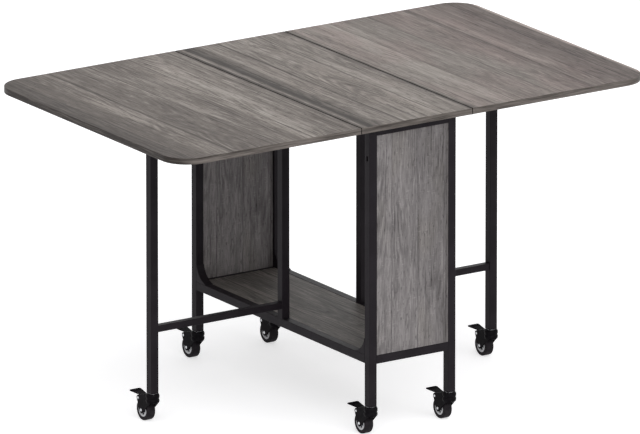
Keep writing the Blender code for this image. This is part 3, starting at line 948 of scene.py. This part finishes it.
@dataclass
class SteelFrame:
    """The square tubes and curved corner webs of the base."""

    corner: float = 0.0011
    wall: float = 0.0012
    plug_recess: float = 0.0010
    catch_height: float = 0.665
    catch_width: float = 0.007
    catch_length: float = 0.012
    catch_depth: float = 0.006
    web_radius: float = 0.050
    web_tip: float = math.radians(12.0)
    web_steps: int = 20
    web_round: float = 0.0008

    def tube(self, node: str, axis: Axis, body: str, finishes: Finishes) -> None:
        """Builds a tube with round corners, and a plugged foot where a castor stands in it.

        Args:
            node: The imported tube.
            axis: The way it runs.
            body: The body that carries it.
            finishes: The table's finishes.
        """
        low, high = corners(node)
        # The gate's round spigot stands out of a side rail and is inside the stile.
        if node.startswith("side_rail_lower"):
            high.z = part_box("end_rail_lower_front")[1][2]
        if node.startswith("side_rail_upper"):
            low.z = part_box("end_rail_upper_front")[0][2]
        bm = bmesh.new()
        ease(bm, edges_along(add_block(bm, low, high), axis), self.corner, 4)
        if node.startswith(("leg_", "gate_post_")):
            foot = [face for face in bm.faces if face.calc_center_median().z < low.z + TOUCH]
            bmesh.ops.inset_region(bm, faces=foot, thickness=self.wall)
            sink(bm, foot, Vector((0, 0, self.plug_recess)), 1)
        if node.startswith("leg_front_"):
            self.cut_catch(bm, (low + high) / 2, SIDES[node.split("_")[-1]])
        add_piece("tube_" + node, bm, [finishes.coat, finishes.plug], body, node)

    def cut_catch(self, bm: Mesh, middle: Vector, side: int) -> None:
        """Sinks the gate's catch slot into a leg's outer face.

        Args:
            bm: The leg.
            middle: The leg's middle.
            side: The side that the slot opens to, -1 or 1.
        """
        across, along = self.catch_width / 2, self.catch_length / 2
        at = Vector((0, middle.y, self.catch_height))
        cuts = [(at + Axis.Y.vector * s * across, Axis.Y.vector) for s in (-1, 1)]
        cuts += [(at + Axis.Z.vector * s * along, Axis.Z.vector) for s in (-1, 1)]
        for point, normal in cuts:
            outer = [face for face in bm.faces if face.normal.x * side > SQUARE]
            geom = unique(part for face in outer for part in [face, *face.edges, *face.verts])
            bmesh.ops.bisect_plane(bm, geom=geom, dist=1e-7, plane_co=point, plane_no=normal)
            bm.normal_update()
        slot = []
        for face in bm.faces:
            off = face.calc_center_median() - at
            if face.normal.x * side > SQUARE and abs(off.y) < across and abs(off.z) < along:
                slot.append(face)
        sink(bm, slot, Vector((-side * self.catch_depth, 0, 0)), 1)

    def web(self, node: str, end: int, coat: Material) -> None:
        """Builds a curved corner web, a plate whose free edge is a hollow arc.

        Args:
            node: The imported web.
            end: The end of the table that it is at, -1 or 1.
            coat: The finish of the steel.
        """
        low, high = corners(node)
        wall = high.y if end > 0 else low.y
        bm = bmesh.new()
        centre = Vector((low.x, wall - end * self.web_radius, low.z + self.web_radius))
        reach = Matrix.Rotation(end * self.web_tip, 3, "X") @ Vector((0, 0, -self.web_radius))
        start = bm.verts.new(centre + reach)
        way = {"angle": end * (QUARTER_TURN - 2 * self.web_tip), "steps": self.web_steps}
        bmesh.ops.spin(bm, geom=[start], cent=centre, axis=Axis.X.vector, **way)
        arc = sorted(bm.verts, key=lambda vert: vert.co.z)
        first, last = arc[0], arc[-1]
        foot = bm.verts.new((low.x, first.co.y, low.z))
        corner = bm.verts.new((low.x, wall, low.z))
        head = bm.verts.new((low.x, wall, last.co.z))
        for pair in ((first, foot), (foot, corner), (corner, head), (head, last)):
            bm.edges.new(pair)
        bmesh.ops.contextual_create(bm, geom=list(bm.edges))
        grown = bmesh.ops.extrude_face_region(bm, geom=list(bm.faces), use_keep_orig=True)["geom"]
        verts = [item for item in grown if isinstance(item, bmesh.types.BMVert)]
        bmesh.ops.translate(bm, verts=verts, vec=(high.x - low.x, 0, 0))
        bmesh.ops.recalc_face_normals(bm, faces=list(bm.faces))
        ease(bm, sharp_edges(list(bm.faces), BEND_SHARP), self.web_round, 2)
        add_piece("web_" + node, bm, [coat], "base", node)

    def build(self, finishes: Finishes) -> None:
        """Builds and dresses the legs, rails and webs.

        Args:
            finishes: The table's finishes.
        """
        for end, sign in ENDS.items():
            for side in SIDES:
                self.tube(f"leg_{end}_{side}", Axis.Z, "base", finishes)
                self.web(f"gusset_{end}_{side}", sign, finishes.coat)
        for level in ("lower", "upper"):
            for end in ENDS:
                self.tube(f"end_rail_{level}_{end}", Axis.X, "base", finishes)
            for side in SIDES:
                self.tube(f"side_rail_{level}_{side}", Axis.Y, "base", finishes)


@dataclass
class SwingGates:
    """The two gates that carry the raised leaves."""

    frame: SteelFrame
    pad_round: float = 0.0014
    pad_gap: float = 0.0003
    pad_root: float = 0.001

    def pad(self, side: str, rubber: Material) -> None:
        """Builds the pad on a post: a soft-edged cap with its plug in the tube.

        Args:
            side: The gate's side.
            rubber: The pad's finish.
        """
        node = "gate_pad_" + side
        low, high = corners(node)
        post_low, post_high = corners("gate_post_" + side)
        brim = Vector((low.x, low.y, post_high.z + self.pad_gap))
        bm = bmesh.new()
        add_block(bm, brim, high)
        ease(bm, list(bm.edges), self.pad_round)
        wall = self.frame.wall + self.pad_gap
        plug_low = Vector((post_low.x + wall, post_low.y + wall, low.z))
        plug_high = Vector((post_high.x - wall, post_high.y - wall, brim.z + self.pad_root))
        add_block(bm, plug_low, plug_high)
        add_piece("pad_" + node, bm, [rubber], "gate_" + side, node)

    def build(self, finishes: Finishes) -> None:
        """Builds and dresses both gates.

        Args:
            finishes: The table's finishes.
        """
        tubes = {"stile": Axis.Z, "post": Axis.Z, "rail_lower": Axis.X, "rail_upper": Axis.X}
        for side in SIDES:
            for tube, axis in tubes.items():
                self.frame.tube(f"gate_{tube}_{side}", axis, "gate_" + side, finishes)
            self.pad(side, finishes.pad)


@dataclass
class LeafHinge:
    """A butt hinge under a seam, with three screws in each wing."""

    length: float = 0.060
    wing: float = 0.030
    plate: float = 0.0015
    plate_round: float = 0.0003
    knuckle: float = 0.0030
    knuckle_round: float = 0.0004
    tab_drop: float = 0.0001
    gap: float = 0.0003
    corner: float = 0.0040
    screw_radius: float = 0.0031
    screw_rise: float = 0.0008
    screw_root: float = 0.0002
    screw_places: Pairs = ((0.021, -0.021), (0.014, 0.0), (0.021, 0.021))
    # A screw's head with its socket: shares of its radius and of its rise.
    screw_head: Pairs = ((1.0, 0.3), (0.72, 0.9), (0.42, 1.0), (0.36, 0.25), (0.0, 0.25))

    def half(
        self, node: str, body: str, pin: Vector, way: int, thirds: tuple[int, ...], zinc: Material
    ) -> None:
        """Builds one wing with its knuckles and screws.

        Args:
            node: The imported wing.
            body: The body that carries it.
            pin: The middle of the hinge's pin.
            way: The side of the pin that the plate lies on, -1 or 1.
            thirds: The knuckles' places along the pin, each -1, 0 or 1.
            zinc: The hinge's finish.
        """
        bm = bmesh.new()
        inner = pin.x + way * (self.knuckle + self.gap)
        outer = pin.x + way * self.wing
        top = pin.z + self.knuckle
        bottom = top - self.plate
        low = Vector((min(inner, outer), pin.y - self.length / 2, bottom))
        verts = add_block(bm, low, Vector((max(inner, outer), pin.y + self.length / 2, top)))
        upright = edges_along(verts, Axis.Z)
        ease(bm, [e for e in upright if abs(e.verts[0].co.x - outer) < TOUCH], self.corner, 6)
        ease(bm, sharp_edges(list(bm.faces), RIM_SHARP), self.plate_round, 2)
        third = self.length / 3
        reach = third / 2 - self.gap / 2
        end = [(0, -reach), (self.knuckle - self.knuckle_round, -reach)]
        end.append((self.knuckle, self.knuckle_round - reach))
        for place in thirds:
            middle = pin + Axis.Y.vector * place * third
            turn(bm, end + [(r, -along) for r, along in reversed(end)], Axis.Y, middle, 24)
            tab = Vector((min(inner, pin.x), middle.y - reach, bottom))
            tab_high = Vector((max(inner, pin.x), middle.y + reach, top - self.tab_drop))
            add_block(bm, tab, tab_high)
        head = [(0, self.screw_root), (self.screw_radius, self.screw_root)]
        head += [(self.screw_radius * r, -self.screw_rise * rise) for r, rise in self.screw_head]
        for across, along in self.screw_places:
            spot = Vector((pin.x + way * across, pin.y + along, bottom))
            turn(bm, head, Axis.Z, spot, 20)
        add_piece("hinge_" + node, bm, [zinc], body, node)

    def build(self, finishes: Finishes) -> None:
        """Builds and dresses the four hinges.

        Args:
            finishes: The table's finishes.
        """
        for side, sign in SIDES.items():
            for end in ENDS:
                fixed = f"hinge_wing_fixed_{side}_{end}"
                moving = f"hinge_wing_leaf_{side}_{end}"
                low, high = corners(fixed)
                edge = high.x if sign > 0 else low.x
                middle = (low.y + high.y) / 2
                pin = Vector((edge - sign * self.knuckle, middle, high.z - self.knuckle))
                self.half(fixed, "base", pin, -sign, (-1, 1), finishes.zinc)
                self.half(moving, "leaf_" + side, pin, sign, (0,), finishes.zinc)


@dataclass
class BrakedCastor:
    """A swivel castor with a brake pedal, measured from its swivel axis and the floor."""

    wheel_radius: float = 0.0250
    wheel_half: float = 0.0104
    trail: float = 0.0281
    cheek_inside: float = 0.0111
    cheek_outside: float = 0.0136
    cheek_round: float = 0.0005
    boss_radius: float = 0.0080
    ear_radius: float = 0.0065
    head_radius: float = 0.0163
    head_low: float = 0.0472
    head_high: float = 0.0709
    # The head's two rolled beads, as inset from its radius and height over its foot, then its
    # shoulder, as inset and depth under its top.
    head_beads: Pairs = (
        (0.0034, 0.0),
        (0.0014, 0.0010),
        (0.0003, 0.0034),
        (0.0, 0.0060),
        (0.0003, 0.0086),
        (0.0016, 0.0106),
        (0.0016, 0.0112),
        (0.0003, 0.0130),
    )
    head_shoulder: Pairs = (
        (0.0, 0.0068),
        (0.0002, 0.0046),
        (0.0012, 0.0022),
        (0.0030, 0.0006),
        (0.0044, 0.0003),
    )
    race_inside: float = 0.0090
    race_outside: float = 0.0112
    race_round: float = 0.0005
    race_sink: float = 0.0005
    race_lip: float = 0.0001
    race_rise: float = 0.0003
    stem_radius: float = 0.0050
    stem_sink: float = 0.0006
    stem_rise: float = 0.0012
    axle_rivet: tuple[float, float] = (0.0034, 0.0018)
    pivot_rivet: tuple[float, float] = (0.0030, 0.0013)
    # A rivet's dome: shares of its radius and of its height.
    rivet_dome: Pairs = ((1.0, 0.25), (0.8, 0.7), (0.45, 1.0), (0.0, 1.0))
    rivet_root: float = 0.0006
    crown_lap: float = 0.0005
    crown_round: float = 0.0012
    pivot_y: float = 0.0410
    pivot_z: float = 0.0520
    ring_inside: float = 0.0116
    ring_outside: float = 0.0166
    bore_radius: float = 0.0034
    spokes: int = 6
    spoke_root: float = 0.0070
    spoke_half: float = 0.0012
    # The pedal's plate from its heel to its tip: place behind the pivot, half width and height.
    pedal_plan: tuple[tuple[float, float, float], ...] = (
        (-0.0060, 0.0085, 0.0075),
        (0.0, 0.0085, 0.0077),
        (0.0330, 0.0155, 0.0102),
        (0.0360, 0.0128, 0.0104),
    )
    pedal_thickness: float = 0.0023
    pedal_round: float = 0.0005
    ribs: int = 3
    rib_start: float = 0.0225
    rib_pitch: float = 0.0042
    rib_half: float = 0.0098
    rib_flare: float = 0.0014
    rib_width: float = 0.0016
    rib_rise: float = 0.0007
    rib_root: float = 0.0012
    pedal_hub: float = 0.0042
    pedal_bore: float = 0.0022
    pedal_play: float = 0.0009
    small_round: float = 0.0004

    def head(self, bm: Mesh, at: Vector) -> None:
        """Turns the swivel head, its bright race ring under the leg's foot, and the stem.

        Args:
            bm: The fork.
            at: The foot of the swivel axis on the floor.
        """
        r, low, high = self.head_radius, self.head_low, self.head_high
        outline = [(0, low), *((r - inset, low + rise) for inset, rise in self.head_beads)]
        outline += [(r - inset, high - drop) for inset, drop in self.head_shoulder]
        turn(bm, [*outline, (0, outline[-1][1])], Axis.Z, at, 48)
        inside, outside = self.race_inside, self.race_outside
        foot, top = high - self.race_sink, high + self.race_rise
        race = [(inside, foot), (outside, foot), (outside, high + self.race_lip)]
        race += [(outside - self.race_round, top), (inside, top), race[0]]
        turn(bm, race, Axis.Z, at, 40, finish=1)
        stem, foot, top = self.stem_radius, high - self.stem_sink, high + self.stem_rise
        turn(bm, [(0, foot), (stem, foot), (stem, top), (0, top)], Axis.Z, at, 24, finish=1)

    def fork(self, place: str, at: Vector, finishes: Finishes) -> None:
        """Builds the swivel head, the two cheeks with their rivets, and the crown.

        Args:
            place: The castor's place on the table.
            at: The foot of its swivel axis on the floor.
            finishes: The table's finishes.
        """
        bm = bmesh.new()
        self.head(bm, at)
        low, high = self.head_low, self.head_high
        axle = at + Vector((0, self.trail, self.wheel_radius))
        pivot = at + Vector((0, self.pivot_y, self.pivot_z))
        roots = ((-0.007, low + 0.0008), (-0.007, high - 0.0030), (0.009, high - 0.0014))
        for side in (-1, 1):
            verts = []
            for x in (side * self.cheek_inside, side * self.cheek_outside):
                verts += add_ring(bm, self.boss_radius, axle + Vector((x, 0, 0)))
                verts += add_ring(bm, self.ear_radius, pivot + Vector((x, 0, 0)))
                verts += [bm.verts.new(at + Vector((x, y, z))) for y, z in roots]
            ease(bm, sharp_edges(add_hull(bm, verts), PLATE_SHARP), self.cheek_round, 2)
            out = side * self.cheek_outside
            for spot, (width, dome) in ((axle, self.axle_rivet), (pivot, self.pivot_rivet)):
                root = out - side * self.rivet_root
                rivet = [(width * r, out + side * dome * rise) for r, rise in self.rivet_dome]
                turn(bm, [(0, root), (width, root), *rivet], Axis.X, spot, 24, finish=1)
        # The crown joins the cheeks behind the head, above the wheel.
        half = self.cheek_inside + self.crown_lap
        crown = ((0.006, 0.0525), (0.006, high - 0.0018), (0.021, 0.0565), (0.021, 0.0640))
        verts = [bm.verts.new(at + Vector((x, y, z))) for x in (-half, half) for y, z in crown]
        ease(bm, sharp_edges(add_hull(bm, verts), PLATE_SHARP), self.crown_round, 3)
        node = "castor_fork_" + place
        coats = [finishes.pressing, finishes.zinc]
        add_piece(node + ".pressing", bm, coats, "fork_" + place, node)

    def wheel(self, place: str, at: Vector, finishes: Finishes) -> None:
        """Builds the tread, the hub and its pale ring with short spokes.

        Args:
            place: The castor's place on the table.
            at: The foot of its swivel axis on the floor.
            finishes: The table's finishes.
        """
        bm = bmesh.new()
        axle = at + Vector((0, self.trail, self.wheel_radius))
        r, w = self.wheel_radius, self.wheel_half
        inside, outside = self.ring_inside, self.ring_outside
        tread = [(outside, 0.0), (outside, w - 0.0004), (outside + 0.0005, w), (r - 0.0022, w)]
        tread += [(r - 0.0009, w - 0.0004), (r - 0.0002, w - 0.0012), (r, w - 0.0022), (r, 0.0)]
        turn(bm, mirrored(tread), Axis.X, axle, 56)
        hub = [(self.bore_radius, 0.0), (self.bore_radius, w - 0.0010), (0.0058, w - 0.0010)]
        hub += [(0.0064, w - 0.0028), (inside, w - 0.0034), (inside, w - 0.0010)]
        hub += [(inside + 0.0006, w - 0.0005), (outside - 0.0006, w - 0.0005)]
        hub += [(outside - 0.0001, w - 0.0010), (outside - 0.0001, 0.0)]
        for face in turn(bm, mirrored(hub), Axis.X, axle, 48):
            middle = face.calc_center_median() - axle
            pale = math.hypot(middle.y, middle.z) > inside - 0.0004
            if pale and abs(middle.x) > w - 0.0036:
                face.material_index = 1
        for side in (-1, 1):
            back, front = sorted((side * (w - 0.0036), side * (w - 0.0016)))
            for number in range(self.spokes):
                low = axle + Vector((back, -self.spoke_half, self.spoke_root))
                high = axle + Vector((front, self.spoke_half, inside + 0.0004))
                verts = add_block(bm, low, high)
                spin = Matrix.Rotation(FULL_TURN * (number + 0.25) / self.spokes, 3, "X")
                bmesh.ops.rotate(bm, verts=verts, cent=axle, matrix=spin)
                paint(faces_of(verts), 1)
        node = "castor_wheel_" + place
        coats = [finishes.tyre, finishes.disc]
        add_piece(node + ".tread", bm, coats, "wheel_" + place, node)

    def pedal(self, place: str, at: Vector, finishes: Finishes) -> None:
        """Builds the brake pedal: a flared plate with grip ribs, on a hub between the cheeks.

        Args:
            place: The castor's place on the table.
            at: The foot of its swivel axis on the floor.
            finishes: The table's finishes.
        """
        bm = bmesh.new()
        pivot = at + Vector((0, self.pivot_y, self.pivot_z))
        verts = []
        for y, x, z in self.pedal_plan:
            for side in (-x, x):
                for level in (z, z - self.pedal_thickness):
                    verts.append(bm.verts.new(pivot + Vector((side, y, level))))
        ease(bm, sharp_edges(add_hull(bm, verts), BEND_SHARP), self.pedal_round, 2)
        # The grip ribs stand 0.7 mm proud of the plate near its tip.
        (start, _, foot), (stop, _, tip) = self.pedal_plan[1:3]
        for number in range(self.ribs):
            y = self.rib_start + self.rib_pitch * number
            z = foot + (tip - foot) * y / (stop - start)
            half = self.rib_half + self.rib_flare * number
            low = pivot + Vector((-half, y, z - self.rib_root))
            rib = add_block(bm, low, pivot + Vector((half, y + self.rib_width, z + self.rib_rise)))
            ease(bm, sharp_edges(faces_of(rib), RIM_SHARP), self.small_round, 2)
        half, soft = self.cheek_inside - self.pedal_play, self.small_round
        rim = [(self.pedal_bore, -half), (self.pedal_hub - soft, -half)]
        rim.append((self.pedal_hub, soft - half))
        hub = rim + [(radius, -along) for radius, along in reversed(rim)]
        turn(bm, [*hub, hub[0]], Axis.X, pivot, 28)
        # A block carries the plate on the hub.
        low = pivot + Vector((-0.0076, -0.0021, 0.0026))
        add_block(bm, low, pivot + Vector((0.0076, 0.0021, 0.0066)))
        node = "castor_brake_" + place
        add_piece(node + ".pedal", bm, [finishes.pedal], "brake_" + place, node)

    def build(self, finishes: Finishes) -> None:
        """Builds and dresses the six castors.

        Args:
            finishes: The table's finishes.
        """
        carriers = {f"{end}_{side}": f"leg_{end}_{side}" for end in ENDS for side in SIDES}
        carriers |= {f"gate_{side}": f"gate_post_{side}" for side in SIDES}
        for place, carrier in carriers.items():
            low, high = corners(carrier)
            at = Vector(((low.x + high.x) / 2, (low.y + high.y) / 2, 0.0))
            self.fork(place, at, finishes)
            self.wheel(place, at, finishes)
            self.pedal(place, at, finishes)


@dataclass(frozen=True)
class Lamp:
    """A broad, far lamp: the way to it, its spread in degrees and its power."""

    name: str
    towards: tuple[float, float, float]
    spread: float
    power: float


@dataclass
class Studio:
    """The pale floor, the white surround, soft light and the camera."""

    floor_half: float = 9.0
    floor_colour: str = "#E6E6E8"
    floor_lift: float = 0.56
    surround: float = 0.38
    lamp_distance: float = 4.0
    lamps: tuple[Lamp, ...] = (
        Lamp("key_light", (-0.16, -0.66, 1.0), 70.0, 1.68),
        Lamp("fill_light", (-0.20, -1.0, 0.25), 60.0, 0.65),
        Lamp("back_light", (0.70, 1.0, 0.55), 60.0, 0.40),
    )
    view_target: tuple[float, float, float] = (-0.0049, 0.0043, 0.4180)
    view_direction: tuple[float, float, float] = (0.5290, 0.8010, -0.2802)
    view_width: float = 1.4829
    view_limit: float = 100.0
    lens: float = 1000.0
    sensor: float = 36.0

    def camera(self) -> None:
        """Sets up the long lens that looks down on the front left corner."""
        data = bpy.data.cameras.new("camera")
        data.lens = self.lens
        data.sensor_width = self.sensor
        data.sensor_fit = "HORIZONTAL"
        data.clip_end = self.view_limit
        camera = bpy.data.objects.new("camera", data)
        bpy.context.scene.collection.objects.link(camera)
        way = Vector(self.view_direction).normalized()
        away = self.view_width * self.lens / self.sensor
        camera.location = Vector(self.view_target) - way * away
        camera.rotation_euler = way.to_track_quat("-Z", "Y").to_euler()
        bpy.context.scene.camera = camera

    def floor(self) -> None:
        """Lays a pale floor that keeps the table's shadow and fades into the surround."""
        bm = bmesh.new()
        bmesh.ops.create_grid(bm, x_segments=4, y_segments=4, size=self.floor_half)
        mesh = bpy.data.meshes.new("floor")
        bm.to_mesh(mesh)
        bm.free()
        # Smooth matt paper: its lift is seen by the camera and in reflections, so it adds no light.
        material = empty_material("pale_studio_floor")
        add = partial(add_node, material.node_tree)
        seen = seen_directly(material.node_tree)
        lift = add("Math", {0: seen, 1: self.floor_lift}, operation="MULTIPLY")
        glow = add("Emission", {"Color": srgb(WHITE), "Strength": lift})
        matt = add("BsdfDiffuse", {"Color": srgb(self.floor_colour)})
        add("OutputMaterial", {"Surface": add("AddShader", {0: matt, 1: glow})})
        mesh.materials.append(material)
        floor = bpy.data.objects.new("floor", mesh)
        bpy.context.scene.collection.objects.link(floor)

    def light(self) -> None:
        """Sets the lamps and the surround, which is white to the eye and dimmer as light."""
        for lamp in self.lamps:
            data = bpy.data.lights.new(lamp.name, "SUN")
            data.angle = math.radians(lamp.spread)
            data.energy = lamp.power
            sun = bpy.data.objects.new(lamp.name, data)
            bpy.context.scene.collection.objects.link(sun)
            sun.location = Vector(lamp.towards) * self.lamp_distance
            sun.rotation_euler = Vector(lamp.towards).to_track_quat("Z", "Y").to_euler()
        world = bpy.data.worlds.new("white_surround")
        bpy.context.scene.world = world
        world.use_nodes = True
        tree = world.node_tree
        tree.nodes.clear()
        strength = {"Value": seen_directly(tree), "To Min": self.surround, "To Max": 1.0}
        back = {"Color": srgb(WHITE), "Strength": add_node(tree, "MapRange", strength)}
        add_node(tree, "OutputWorld", {"Surface": add_node(tree, "Background", back)})

    def build(self) -> None:
        """Builds the studio and sets the plain view transform."""
        bpy.context.scene.view_settings.view_transform = "Standard"
        self.camera()
        self.floor()
        self.light()


def main() -> None:
    """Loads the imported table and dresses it."""
    logging.basicConfig(level=logging.INFO, format="%(name)s: %(message)s")
    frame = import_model()
    Studio().build()
    finishes = Finishes.make()
    steel = SteelFrame()
    for assembly in (OakBoards(), steel, SwingGates(steel), LeafHinge(), BrakedCastor()):
        assembly.build(finishes)


if __name__ == "__main__":
    main()
